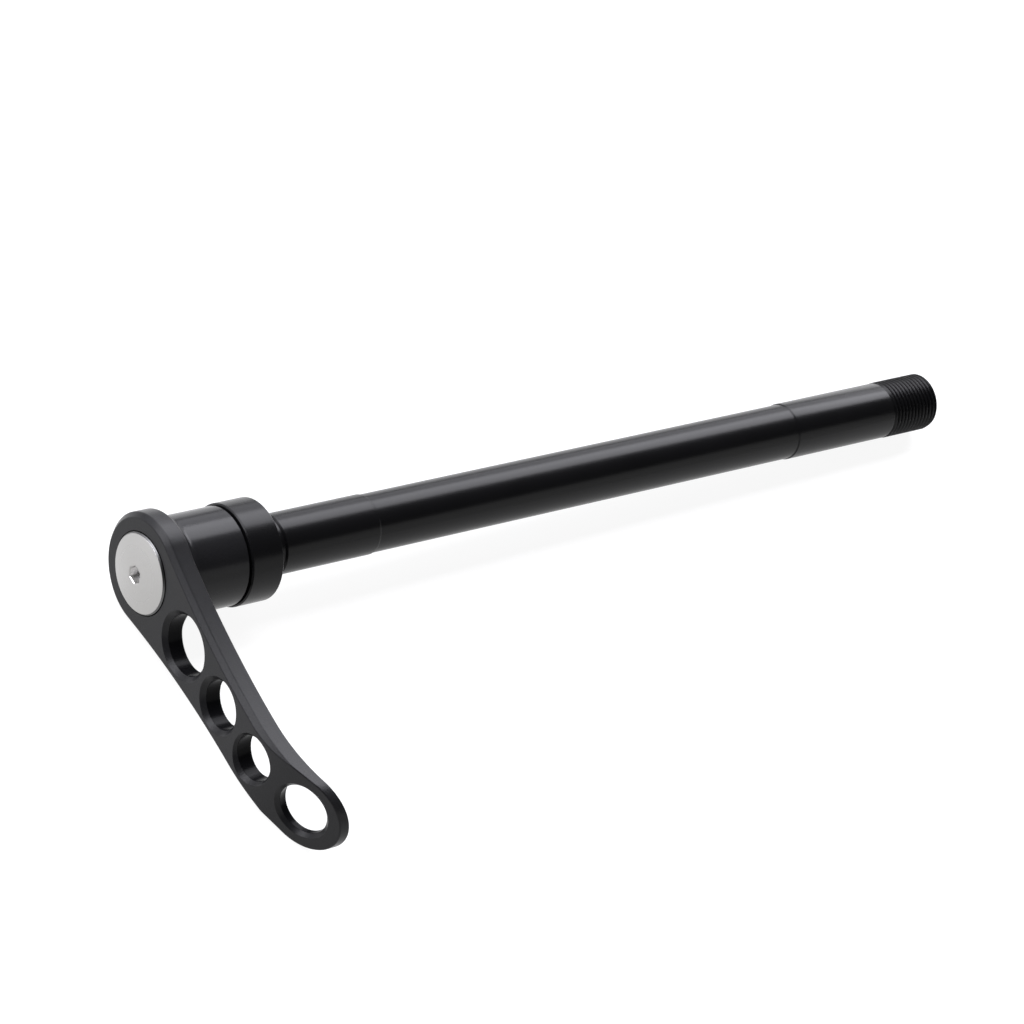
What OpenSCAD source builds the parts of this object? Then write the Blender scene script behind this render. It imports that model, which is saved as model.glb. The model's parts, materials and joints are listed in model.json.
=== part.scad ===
// Thru axle for a bicycle wheel, with a pull-out lever, a free turning clamp ring and a fine end thread.
// It lies on a flat surface as it comes to rest: on the lever's long edge and on its thread end.
// Lengths are in millimetres. Stations run along the axle from the clamp face, positive to the thread.

/* [Axle shaft] */
// Length from the clamp face to the thread end
axle_len = 177.5; // [150:0.5:220]
// Outside diameter of the end thread, which is cut at a pitch of 1 mm
thread_d = 12; // [11.9:0.05:12.5]
// Length of the end thread with its run-out
thread_len = 13.5; // [10:0.5:25]
// Length of the run-out between the far seat and the full thread
thread_runout = 0.7; // [0.6:0.1:1.5]
// Chamfer at the thread end
end_chamfer = 0.8; // [0.3:0.1:1.2]
// Diameter of the two seats that the frame ends hold
seat_d = 11.8; // [11.4:0.05:11.9]
// Length of the seat beside the clamp ring
near_seat_len = 21.8; // [10:0.2:35]
// Length of the seat beside the thread
far_seat_len = 27.7; // [10:0.1:40]
// Diameter of the relieved middle between the seats
middle_d = 11.45; // [10.5:0.05:11.45]
// Chamfer where the seats step down to the middle
step_chamfer = 0.3; // [0.1:0.1:1]
// Diameter of the bore that lightens the shaft
bore_d = 7; // [5:0.5:8]
// Station of the bore's closed end
bore_floor = 12; // [4:1:40]
// Chamfer at the mouth of the bore
bore_chamfer = 0.6; // [0.2:0.1:1]

/* [Neck and ring journal] */
// Diameter of the neck between the clamp ring and the near seat
neck_d = 11; // [10.4:0.1:11.2]
// Length of the neck that shows past the clamp ring
neck_len = 3.5; // [1:0.1:8]
// Chamfer from the neck up to the near seat
neck_chamfer = 0.4; // [0.1:0.05:0.6]
// How far the ring's journal stands above the thread, so that the ring slips over the thread
journal_step = 0.2; // [0.1:0.05:0.6]
// Radial running clearance of the ring on its journal
ring_clearance = 0.05; // [0.02:0.01:0.1]

/* [Clamp ring] */
// Outside diameter of the clamp ring
ring_d = 19.75; // [18.5:0.05:24]
// Length of the clamp ring
ring_len = 7.1; // [5:0.1:12]
// Chamfer on the rims of the clamp ring
ring_chamfer = 0.25; // [0.1:0.05:0.8]
// Depth of the recess in the clamp face that hides the clip
recess_depth = 1.4; // [1.2:0.1:2.5]
// Radial clearance round the clip in that recess
recess_clearance = 0.3; // [0.2:0.1:0.8]

/* [Retaining clip] */
// Thickness of the clip along the axle
clip_t = 0.9; // [0.6:0.05:1.1]
// Radial width of the clip's section
clip_w = 1.65; // [1.3:0.05:2]
// Depth of the clip's groove below the neck
groove_depth = 0.3; // [0.2:0.05:0.5]
// Clearance of the clip in its groove, on each side and below
clip_clearance = 0.05; // [0.02:0.01:0.1]
// Angle of the clip's open gap, in degrees
clip_gap_angle = 50; // [20:5:90]

/* [Thrust washer] */
// Thickness of the washer between the axle's flange and the clamp ring
washer_t = 0.45; // [0.3:0.05:1]
// Gap between the washer and the clamp ring, which turns against it
washer_gap = 0.05; // [0.02:0.01:0.1]

/* [Splined head] */
// Thickness of the flange that carries the clamp ring's load
flange_t = 0.6; // [0.4:0.1:1.5]
// Length of the splines on the axle's head
spline_len = 3.2; // [2:0.1:3.4]
// Number of spline teeth
spline_n = 20; // [12:1:30]
// Depth of the spline teeth
spline_depth = 0.8; // [0.5:0.05:1]
// Clearance between the two sets of spline teeth
spline_gap = 0.1; // [0.05:0.01:0.15]
// Length of the plain pilot in front of the splines
pilot_len = 2.6; // [2:0.1:5]
// Step from the spline roots down to the pilot
pilot_step = 0.6; // [0.3:0.1:1.5]

/* [Lever hub] */
// Wall of the hub round the cap
hub_wall = 1.5; // [1.2:0.1:3]
// Wall of the hub round the spline teeth
spline_wall = 1.4; // [1:0.1:1.5]
// Open gap between the hub and the clamp ring
hub_gap = 0.4; // [0.2:0.1:1]
// Radial clearance between the flange and the mouth of the hub
mouth_clearance = 0.2; // [0.1:0.05:0.3]
// Step by which the hollow behind the hub's teeth is wider than they are
relief_step = 0.2; // [0.1:0.05:0.4]
// Gap between the head of the axle and the web that comes to rest on it
web_gap = 0.05; // [0.02:0.01:0.1]
// Thickness of the web that the spring presses on
web_t = 2.5; // [1.5:0.1:4]
// Radial clearance of the web on the cap screw's sleeve
sleeve_clearance = 0.05; // [0.02:0.01:0.1]
// Fillet between the hub and the back of the plate
hub_fillet = 2.6; // [1:0.1:3]
// Chamfer on the hub's open end
hub_chamfer = 0.25; // [0.1:0.05:0.5]

/* [Lever plate] */
// Thickness of the plate
plate_t = 4.15; // [3:0.05:6]
// Width of the plate's rim round the hub
head_rim = 1.9; // [1.2:0.1:4]
// Distance from the axle to the centre of the rounded tip
arm_len = 55; // [53:0.1:80]
// Diameter of the rounded tip
tip_d = 15.5; // [14:0.1:20]
// Radius of the hollow long sides
waist_r = 165; // [150:5:200]
// Front chamfer along the plate's edge
edge_chamfer = 0.95; // [0.4:0.05:1.2]
// Angle by which the tip is bent towards the wheel
bend_angle = 23; // [5:1:28]
// Radius of the bend on the front face
bend_r = 29; // [25:1:45]
// Radius of the bend on the back face, which thins the tip
back_bend_r = 47; // [44:1:60]
// How much further out the back face starts to bend
back_bend_lag = 1.2; // [0:0.1:3]
// Radius on which the edge chamfer runs out at the bend
chamfer_runout_r = 50; // [46:1:90]

/* [Lever holes] */
// Diameter of the hole beside the hub
hole_1_d = 11.6; // [8:0.1:12]
// Diameter of the second hole
hole_2_d = 9.4; // [6:0.1:10]
// Diameter of the third hole
hole_3_d = 8.8; // [6:0.1:9.4]
// Diameter of the hole in the tip
tip_hole_d = 10; // [6:0.1:10.6]
// Front chamfer of the first three holes
hole_chamfer = 0.9; // [0.3:0.05:1]
// Front chamfer of the tip hole
tip_hole_chamfer = 0.75; // [0.2:0.05:0.9]
// Back chamfer of all four holes
hole_back_chamfer = 0.25; // [0.1:0.05:0.5]

/* [Cap screw] */
// Diameter of the silver cap
cap_d = 15.7; // [14.5:0.1:18]
// Radial gap round the cap in the lever
cap_gap = 0.15; // [0.1:0.05:0.4]
// Thickness of the cap at its rim
cap_rim_t = 2.2; // [1.6:0.1:3]
// How far the cap's rim stands in front of the lever's face
cap_proud = 0.4; // [-0.5:0.1:0.8]
// Rise of the dome from the rim to the middle
dome_rise = 1; // [0.4:0.1:1.6]
// Chamfer on the cap's rim
cap_chamfer = 0.3; // [0.1:0.05:0.6]
// Diameter of the smooth sleeve that guides the lever
sleeve_d = 8; // [7:0.1:9]
// Diameter of the screw thread in the axle's head
screw_d = 6; // [5:0.5:6]
// Length of that screw thread
screw_len = 7.5; // [5:0.5:8]
// Radial clearance of that thread's plain stand-in
screw_clearance = 0.05; // [0.02:0.01:0.1]
// Room past the end of that thread
screw_room = 1; // [0.5:0.5:2]
// Width across the flats of the hexagon socket
hex_af = 3; // [2.5:0.5:4]
// Depth of the hexagon socket
hex_depth = 3; // [2:0.5:5]
// Chamfer at the mouth of the socket
hex_chamfer = 0.3; // [0.1:0.1:0.6]

/* [Return spring] */
// Travel that frees the splines when the lever is pulled out
pull_travel = 4; // [3.6:0.1:5]
// Length of the spring when the lever is pulled right out
squeezed_len = 3.05; // [2.95:0.05:4]
// Diameter of the spring wire
wire_d = 0.7; // [0.6:0.05:0.75]
// Number of turns of the spring
spring_turns = 2.75; // [2.25:0.25:2.75]
// Clearance of the spring from the faces at its two ends
spring_clearance = 0.02; // [0.01:0.01:0.05]

/* [Hidden] */
$fn = 120;

// Small overlap that keeps cuts clear of the faces they open
eps = 0.5;

// Radii of the shaft
thread_r = thread_d / 2;
seat_r = seat_d / 2;
middle_r = middle_d / 2;
neck_r = neck_d / 2;
groove_r = neck_r - groove_depth;
journal_r = thread_r + journal_step;

// Stations of the shaft
seat_start = neck_len + neck_chamfer;
near_seat_end = seat_start + near_seat_len;
thread_start = axle_len - thread_len;
far_seat_start = thread_start - far_seat_len;

// Clip, ring recess and groove
clip_inner_r = groove_r + clip_clearance;
clip_outer_r = clip_inner_r + clip_w;
recess_r = clip_outer_r + recess_clearance;
clip_back = -recess_depth + 2 * clip_clearance;
groove_back = clip_back - clip_clearance;
groove_front = clip_back + clip_t + clip_clearance;
ring_bore_r = journal_r + ring_clearance;

// Radii of the lever's hub and of what runs inside it
cap_r = cap_d / 2;
cap_bore_r = cap_r + cap_gap;
hub_r = cap_bore_r + hub_wall;
head_r = hub_r + head_rim;
cavity_r = hub_r - spline_wall;
spline_tip_r = cavity_r - spline_gap;
spline_root_r = spline_tip_r - spline_depth;
flange_r = spline_tip_r + mouth_clearance;
mouth_r = flange_r + mouth_clearance;
relief_r = cavity_r + relief_step;
pilot_r = spline_root_r - pilot_step;
sleeve_r = sleeve_d / 2;
screw_r = screw_d / 2;

// Stations of the head and the lever, all in front of the clamp face
ring_back = -ring_len;
flange_face = ring_back - washer_gap - washer_t;
spline_end = flange_face - flange_t;
spline_front = spline_end - spline_len;
head_top = spline_front - pilot_len;
hub_end = ring_back - hub_gap;
mouth_floor = spline_end - mouth_clearance;
teeth_front = spline_front - spline_gap;
web_back = head_top - web_gap;
web_front = web_back - web_t;
spring_len = squeezed_len + pull_travel;
cap_back = web_front - spring_len;
cap_rim = cap_back - cap_rim_t;
cap_top = cap_rim - dome_rise;
plate_front = cap_rim + cap_proud;
plate_back = plate_front + plate_t;

// Outline of the lever: the hollow sides touch the head circle and the tip circle
tip_r = tip_d / 2;
head_reach = waist_r + head_r;
tip_reach = waist_r + tip_r;
waist_x = (arm_len * arm_len + head_reach * head_reach - tip_reach * tip_reach) / (2 * arm_len);
waist_y = sqrt(head_reach * head_reach - waist_x * waist_x);
head_touch_angle = atan2(waist_y, waist_x);
arm_reach = arm_len + tip_r + eps;

// The cap's bore and the four holes leave equal lands between them, and the last hole is concentric with the tip
hole_d = [hole_1_d, hole_2_d, hole_3_d, tip_hole_d];
hole_land = (arm_len - cap_bore_r - hole_1_d - hole_2_d - hole_3_d - tip_hole_d / 2) / 4;
hole_1_x = cap_bore_r + hole_land + hole_1_d / 2;
hole_2_x = hole_1_x + (hole_1_d + hole_2_d) / 2 + hole_land;
hole_3_x = hole_2_x + (hole_2_d + hole_3_d) / 2 + hole_land;
hole_x = [hole_1_x, hole_2_x, hole_3_x, arm_len];
hole_front_chamfer = [hole_chamfer, hole_chamfer, hole_chamfer, tip_hole_chamfer];

// The bend of the front face starts at the narrowest place of the arm
bend_start = waist_x;
back_bend_start = bend_start + back_bend_lag;

// Steps that stand for the bend's arcs, and for the run-out of the chamfer beside them
bend_steps = 10;
runout_steps = 8;
runout_turn = 4.5;

// Small turn by which each chamfer cut runs into the next
cut_overlap = 0.1;

// How far a bent face has dropped at x, and how steep it is there
function bend_turn(x, start, r) = asin(min(max(x - start, 0) / r, sin(bend_angle)));
function bend_run_out(x, start, r) = max(x - start - r * sin(bend_angle), 0);
function bend_drop(x, start, r) =
    r * (1 - cos(bend_turn(x, start, r))) + bend_run_out(x, start, r) * tan(bend_angle);

// Wedge section of the chamfer where it runs out along the bend, at one of its steps
function runout_section(i) =
    let (
        a = 270 + runout_turn * i / runout_steps,
        level = plate_front + edge_chamfer + chamfer_runout_r * (1 - cos(asin(waist_r / chamfer_runout_r * cos(a)))),
        inner = [waist_x, waist_y] + (waist_r + edge_chamfer + eps) * [cos(a), sin(a)],
        outer = [waist_x, waist_y] + (waist_r - eps) * [cos(a), sin(a)]
    )
    [
        [inner[0], inner[1], level - edge_chamfer - eps],
        [outer[0], outer[1], level + eps],
        [outer[0], outer[1], level - edge_chamfer - eps]
    ];

// How the axle lies: the head and the tip of the lever and the thread end touch the surface
head_edge = plate_back + hub_fillet - sqrt(pow(hub_fillet, 2) - pow(max(hub_r + hub_fillet - head_r, 0), 2));
tip_edge = plate_back + bend_drop(arm_len, back_bend_start, back_bend_r);
end_edge = axle_len - end_chamfer;
lie_tilt = atan((head_r - thread_r) / (end_edge - head_edge));
lie_droop = asin((head_r - tip_r - (tip_edge - head_edge) * tan(lie_tilt)) / arm_len);
axis_height = head_r * cos(lie_tilt) + head_edge * sin(lie_tilt);
low_x = cap_top * cos(lie_tilt);
high_x = axle_len * cos(lie_tilt) + (thread_r - end_chamfer) * sin(lie_tilt);
low_y = -arm_len * cos(lie_droop) - tip_r;
high_y = head_r;

// Spring: the wire's centre line climbs slowly at both ends, as closed and ground ends do
spring_r = (sleeve_r + cap_bore_r) / 2;
wire_sides = 10;
wire_steps = 72;
coil_low = cap_back + spring_clearance + wire_d / 2;
coil_rise = spring_len - 2 * spring_clearance - wire_d;
function coil_share(t) = t - sin(360 * t) / 360 * (180 / PI) * 0.75;

// Turns a piece that is drawn along its own Z onto the lying axle
module lying() {
    translate([-(low_x + high_x) / 2, -(low_y + high_y) / 2, axis_height])
        rotate([0, lie_tilt, 0])
            rotate([lie_droop - 90, 0, 0])
                rotate([0, 90, 0])
                    children();
}

// Outline of spline teeth with the given root and tip radii, each flank moved out by grow
module spline_outline(root_r, tip_r, grow) {
    pitch = 360 / spline_n;
    root_half = pitch * 0.31 + grow / root_r * 180 / PI;
    tip_half = pitch * 0.17 + grow / tip_r * 180 / PI;
    polygon([
        for (i = [0 : spline_n - 1])
            for (p = [[-root_half, root_r], [-tip_half, tip_r], [tip_half, tip_r], [root_half, root_r]])
                p[1] * [cos(i * pitch + p[0]), sin(i * pitch + p[0])]
    ]);
}

// Turned shaft with its seats, thread, journal, flange and splined head
module shaft_turning() {
    rotate_extrude()
        polygon([
            [0, head_top],
            [pilot_r - step_chamfer, head_top],
            [pilot_r, head_top + step_chamfer],
            [pilot_r, spline_end],
            [flange_r, spline_end],
            [flange_r, flange_face],
            [journal_r, flange_face],
            [journal_r, groove_back],
            [groove_r, groove_back],
            [groove_r, groove_front],
            [neck_r, groove_front],
            [neck_r, seat_start - (seat_r - neck_r)],
            [seat_r, seat_start],
            [seat_r, near_seat_end],
            [middle_r, near_seat_end + step_chamfer],
            [middle_r, far_seat_start - step_chamfer],
            [seat_r, far_seat_start],
            [seat_r, thread_start],
            [thread_r, thread_start + thread_runout],
            [thread_r, axle_len - end_chamfer],
            [thread_r - end_chamfer, axle_len],
            [0, axle_len]
        ]);
}

module axle_shaft() {
    color("#26262a")
        lying()
            difference() {
                union() {
                    shaft_turning();
                    translate([0, 0, spline_front])
                        linear_extrude(height = spline_len + flange_t / 2)
                            spline_outline(spline_root_r, spline_tip_r, 0);
                }
                translate([0, 0, head_top - eps])
                    cylinder(r = screw_r + screw_clearance, h = screw_len + screw_room + eps);
                translate([0, 0, bore_floor])
                    cylinder(d = bore_d, h = axle_len);
                translate([0, 0, axle_len - bore_chamfer])
                    cylinder(r1 = bore_d / 2, r2 = bore_d / 2 + 2 * bore_chamfer, h = 2 * bore_chamfer);
            }
}

// Clamp ring that stands still on the frame while the axle turns in it
module thrust_ring() {
    outer_r = ring_d / 2;
    color("#2a2a2e")
        lying()
            rotate_extrude()
                polygon([
                    [ring_bore_r, ring_back],
                    [outer_r - ring_chamfer, ring_back],
                    [outer_r, ring_back + ring_chamfer],
                    [outer_r, -ring_chamfer],
                    [outer_r - ring_chamfer, 0],
                    [recess_r, 0],
                    [recess_r, -recess_depth],
                    [ring_bore_r, -recess_depth]
                ]);
}

// Open spring clip that keeps the ring on its journal
module retaining_clip() {
    color("#8c8f94")
        lying()
            rotate([0, 0, clip_gap_angle / 2])
                rotate_extrude(angle = 360 - clip_gap_angle)
                    translate([clip_inner_r, clip_back])
                        square([clip_w, clip_t]);
}

module thrust_washer() {
    color("#3b3b3d")
        lying()
            translate([0, 0, flange_face])
                difference() {
                    cylinder(r = flange_r, h = washer_t);
                    translate([0, 0, -eps])
                        cylinder(r = ring_bore_r, h = washer_t + 2 * eps);
                }
}

// Region between the centres of the head, the tip and the two hollow sides, whose edges cross where arcs meet
module arm_between_centres() {
    polygon([[0, 0], [waist_x, -waist_y], [arm_len, 0], [waist_x, waist_y]]);
}

// Plan outline of the lever: a head circle and a tip circle joined by hollow sides
module lever_outline() {
    difference() {
        union() {
            circle(r = head_r);
            translate([arm_len, 0])
                circle(r = tip_r);
        }
        arm_between_centres();
    }
    difference() {
        arm_between_centres();
        for (side = [-1, 1])
            translate([waist_x, side * waist_y])
                circle(r = waist_r, $fn = 480);
    }
}

// Line of a face that runs flat, bends in small steps and runs on straight
function face_line(level, start, r) = concat(
    [[-head_r - eps, level]],
    [for (i = [0 : bend_steps])
        let (x = start + r * sin(bend_angle * i / bend_steps))
        [x, level + bend_drop(x, start, r)]],
    [[arm_reach, level + bend_drop(arm_reach, start, r)]]
);

// Side section of the plate between its front face and its back face
module plate_section() {
    front = face_line(plate_front, bend_start, bend_r);
    back = face_line(plate_back, back_bend_start, back_bend_r);
    polygon(concat(front, [for (i = [len(back) - 1 : -1 : 0]) back[i]]));
}

// Plate with its bent tip, before its holes are cut
module lever_plate() {
    intersection() {
        translate([0, 0, plate_front - eps])
            linear_extrude(height = plate_t + arm_reach)
                lever_outline();
        rotate([90, 0, 0])
            linear_extrude(height = 3 * head_r, center = true)
                plate_section();
    }
}

// Hollow fillet at the foot of the hub, which the lever's outline cuts off
module hub_foot() {
    intersection() {
        translate([0, 0, plate_back - eps])
            linear_extrude(height = hub_fillet + 2 * eps)
                lever_outline();
        rotate_extrude()
            difference() {
                translate([0, plate_back - eps])
                    square([hub_r + hub_fillet, hub_fillet + eps]);
                translate([hub_r + hub_fillet, plate_back + hub_fillet])
                    circle(r = hub_fillet, $fn = 36);
            }
    }
}

module hub_barrel() {
    rotate_extrude()
        polygon([
            [0, plate_back - eps],
            [hub_r, plate_back - eps],
            [hub_r, hub_end - hub_chamfer],
            [hub_r - hub_chamfer, hub_end],
            [0, hub_end]
        ]);
}

// Everything that is bored into the hub from its two ends
module hub_bores() {
    translate([0, 0, plate_front - eps])
        cylinder(r = cap_bore_r, h = web_front - plate_front + eps);
    translate([0, 0, web_front - eps])
        cylinder(r = sleeve_r + sleeve_clearance, h = web_t + 2 * eps);
    translate([0, 0, web_back])
        cylinder(r = relief_r, h = teeth_front - web_back);
    translate([0, 0, teeth_front - eps])
        linear_extrude(height = hub_end - teeth_front + 2 * eps)
            spline_outline(spline_root_r + spline_gap, cavity_r, spline_gap);
    translate([0, 0, mouth_floor])
        cylinder(r = mouth_r, h = hub_end - mouth_floor + eps);
}

// One hole, drilled square to the bent front face, with a chamfer at each of its mouths
module lever_hole(x, d, front_chamfer) {
    hole_r = d / 2;
    front_cone = 2 * front_chamfer;
    back_cone = 2 * hole_back_chamfer;
    front_level = plate_front + bend_drop(x, bend_start, bend_r);
    back_level = plate_back + bend_drop(x, back_bend_start, back_bend_r);
    turn = bend_turn(x, bend_start, bend_r);
    back_turn = bend_turn(x, back_bend_start, back_bend_r);
    translate([x, 0, front_level])
        rotate([0, -turn, 0]) {
            translate([0, 0, -plate_t])
                cylinder(r = hole_r, h = 3 * plate_t);
            translate([0, 0, -front_chamfer])
                cylinder(r1 = hole_r + front_cone, r2 = hole_r - front_cone, h = 2 * front_cone);
            translate([0, 0, (back_level - front_level) * cos(turn)])
                rotate([0, turn - back_turn, 0])
                    translate([0, 0, hole_back_chamfer - 2 * back_cone])
                        cylinder(r1 = hole_r - back_cone, r2 = hole_r + back_cone, h = 2 * back_cone);
        }
}

// Ring that cuts the front chamfer round the head, but not across the arm
module head_chamfer_cut() {
    difference() {
        rotate_extrude()
            polygon([
                [head_r - edge_chamfer - eps, plate_front - eps],
                [head_r + eps, plate_front - eps],
                [head_r + eps, plate_front + edge_chamfer + eps]
            ]);
        translate([0, 0, plate_front - 2 * eps])
            linear_extrude(height = edge_chamfer + 4 * eps)
                arm_between_centres();
    }
}

// Wedge that cuts the front chamfer along one hollow side, up to the bend
module side_chamfer_cut() {
    translate([waist_x, waist_y, 0])
        rotate([0, 0, 180 + head_touch_angle - cut_overlap])
            rotate_extrude(angle = 90 - head_touch_angle + 2 * cut_overlap, $fn = 480)
                polygon([
                    [waist_r - eps, plate_front - eps],
                    [waist_r + edge_chamfer + eps, plate_front - eps],
                    [waist_r - eps, plate_front + edge_chamfer + eps]
                ]);
}

// Wedge that lets the chamfer run out as the tip bends away from it
module runout_chamfer_cut() {
    points = [for (i = [0 : runout_steps]) each runout_section(i)];
    last = 3 * runout_steps;
    walls = [
        for (i = [0 : runout_steps - 1])
            for (k = [0 : 2])
                let (
                    a = 3 * i + k,
                    b = 3 * i + (k + 1) % 3
                )
                each [[a, b, b + 3], [a, b + 3, a + 3]]
    ];
    polyhedron(points = points, faces = concat(walls, [[2, 1, 0], [last, last + 1, last + 2]]));
}

// Plate with its front chamfer, which is cut along the arm first and then round the head
module chamfered_plate() {
    difference() {
        difference() {
            lever_plate();
            for (side = [0, 1])
                mirror([0, side, 0]) {
                    side_chamfer_cut();
                    runout_chamfer_cut();
                }
        }
        head_chamfer_cut();
    }
}

module lever() {
    color("#303034")
        lying()
            difference() {
                difference() {
                    union() {
                        chamfered_plate();
                        hub_foot();
                        hub_barrel();
                    }
                    hub_bores();
                }
                for (i = [0 : 3])
                    lever_hole(hole_x[i], hole_d[i], hole_front_chamfer[i]);
            }
}

// Section of the cap: a shallow dome on a turned rim
module cap_section() {
    dome_half = cap_r - cap_chamfer;
    dome_r = (dome_half * dome_half + dome_rise * dome_rise) / (2 * dome_rise);
    polygon([
        [0, cap_rim],
        [dome_half, cap_rim],
        [cap_r, cap_rim + cap_chamfer],
        [cap_r, cap_back - cap_chamfer],
        [cap_r - cap_chamfer, cap_back],
        [0, cap_back]
    ]);
    intersection() {
        translate([0, cap_top + dome_r])
            circle(r = dome_r, $fn = 480);
        translate([0, cap_top - eps])
            square([dome_half, dome_rise + 2 * eps]);
    }
}

// Screw with the silver cap, the sleeve that guides the lever and the thread that holds it in the axle
module cap_screw() {
    hex_r = hex_af / 2 / cos(30);
    color("#c9c9cc")
        lying()
            difference() {
                union() {
                    rotate_extrude()
                        cap_section();
                    translate([0, 0, cap_back - eps])
                        cylinder(r = sleeve_r, h = head_top - cap_back + eps);
                    translate([0, 0, head_top - eps])
                        cylinder(r = screw_r, h = screw_len + eps);
                }
                translate([0, 0, cap_top - eps])
                    cylinder(r = hex_r, h = hex_depth + eps, $fn = 6);
                translate([0, 0, cap_top - hex_chamfer])
                    cylinder(r1 = hex_r + hex_chamfer, r2 = hex_r - hex_chamfer, h = 2 * hex_chamfer);
            }
}

// Ring of points round the wire at one step of the coil
function wire_ring(step) =
    let (
        t = step / wire_steps,
        turn = 360 * spring_turns * t,
        height = coil_low + coil_rise * coil_share(t)
    )
    [for (k = [0 : wire_sides - 1])
        let (
            a = 360 * k / wire_sides,
            r = spring_r + wire_d / 2 * cos(a)
        )
        [r * cos(turn), r * sin(turn), height + wire_d / 2 * sin(a)]];

// Coil spring that pulls the lever back into its splines
module return_spring() {
    points = [for (step = [0 : wire_steps]) each wire_ring(step)];
    last = wire_steps * wire_sides;
    walls = [
        for (step = [0 : wire_steps - 1])
            for (k = [0 : wire_sides - 1])
                let (
                    a = step * wire_sides + k,
                    b = step * wire_sides + (k + 1) % wire_sides
                )
                each [[a, b, b + wire_sides], [a, b + wire_sides, a + wire_sides]]
    ];
    start_cap = [[for (k = [wire_sides - 1 : -1 : 0]) k]];
    end_cap = [[for (k = [0 : wire_sides - 1]) last + k]];
    color("#b8bac0")
        lying()
            polyhedron(points = points, faces = concat(walls, start_cap, end_cap), convexity = 6);
}

axle_shaft();
thrust_ring();
retaining_clip();
thrust_washer();
lever();
cap_screw();
return_spring();
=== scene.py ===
# Bicycle thru axle that lies on a pale floor, seen from its lever end.
import json
import math

import bmesh
import bpy
from mathutils import Matrix, Quaternion, Vector
from mathutils.geometry import delaunay_2d_cdt


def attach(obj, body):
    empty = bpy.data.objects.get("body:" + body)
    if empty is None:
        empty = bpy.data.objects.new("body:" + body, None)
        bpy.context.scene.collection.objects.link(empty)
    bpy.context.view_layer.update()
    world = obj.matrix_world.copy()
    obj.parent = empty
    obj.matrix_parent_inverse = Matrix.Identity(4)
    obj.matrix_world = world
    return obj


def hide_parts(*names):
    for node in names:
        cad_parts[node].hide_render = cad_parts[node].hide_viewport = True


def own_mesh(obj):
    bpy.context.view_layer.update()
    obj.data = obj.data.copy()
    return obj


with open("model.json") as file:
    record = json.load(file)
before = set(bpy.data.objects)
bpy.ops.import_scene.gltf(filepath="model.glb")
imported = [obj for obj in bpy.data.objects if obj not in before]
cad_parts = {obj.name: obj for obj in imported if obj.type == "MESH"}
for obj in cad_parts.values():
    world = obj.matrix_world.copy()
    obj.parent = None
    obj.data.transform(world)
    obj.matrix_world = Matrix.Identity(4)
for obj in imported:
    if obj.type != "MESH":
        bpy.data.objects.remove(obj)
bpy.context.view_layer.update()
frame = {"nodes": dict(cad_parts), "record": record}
record = frame["record"]
MM = 0.001

# Sizes of the part in millimetres. Stations run along the axle from the clamp face to the thread.
AXLE_LEN = 177.5
THREAD_R, THREAD_LEN, THREAD_PITCH, END_CHAMFER = 6.0, 13.5, 1.0, 0.8
SEAT_R, SEAT_START, NEAR_SEAT_END, FAR_SEAT_START = 5.9, 3.9, 25.7, 136.3
MIDDLE_R, STEP = 5.725, 0.3
BORE_R, BORE_FLOOR = 3.5, 12.0
NECK_R, GROOVE_R, JOURNAL_R = 5.5, 5.2, 6.2
GROOVE_BACK, GROOVE_FRONT = -1.35, -0.35
FLANGE_R, FLANGE_FACE, SPLINE_END, SPLINE_FRONT = 8.2, -7.6, -8.2, -11.4
PILOT_R, HEAD_TOP, SCREW_HOLE_R, SCREW_HOLE_END = 6.6, -14.0, 3.05, -5.5
SPLINE_N, SPLINE_ROOT_R, SPLINE_TIP_R = 20, 7.2, 8.0
RING_R, RING_BORE_R, RING_BACK, RECESS_R, RECESS = 9.875, 6.25, -7.1, 7.2, 1.4
CAP_R, CAP_TOP, CAP_RIM, CAP_BACK = 7.85, -26.8, -25.8, -23.6
SLEEVE_R, SCREW_R, SCREW_END = 4.0, 3.0, -6.5
HEX_AF, HEX_DEPTH = 3.0, 3.0
SPRING_LEN, WIRE_R, SPRING_TURNS, PULL = 7.05, 0.35, 2.75, 4.0
HUB_R, HUB_END, HUB_CHAMFER, HUB_FILLET = 9.5, -7.5, 0.25, 2.6
CAP_BORE_R, WEB_FRONT, WEB_BACK, SLEEVE_BORE_R = 8.0, -16.55, -14.05, 4.05
RELIEF_R, TEETH_FRONT, MOUTH_FLOOR, MOUTH_R = 8.3, -11.5, -8.4, 8.4
SPACE_ROOT_R, SPACE_TIP_R, SPACE_GROW = 7.3, 8.1, 0.1
PLATE_FRONT, PLATE_T, HEAD_R, TIP_R, ARM_LEN, WAIST_R = -25.4, 4.15, 11.4, 7.75, 55.0, 165.0
EDGE_CHAMFER, EDGE_BREAK, RUNOUT_R = 0.95, 0.15, 50.0
BEND, BEND_R, BACK_BEND_R, BACK_BEND_LAG = math.radians(23), 29.0, 47.0, 1.2
HOLE_D, HOLE_CHAMFER, HOLE_BACK_CHAMFER = (11.6, 9.4, 8.8, 10.0), (0.9, 0.9, 0.9, 0.75), 0.25

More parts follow.
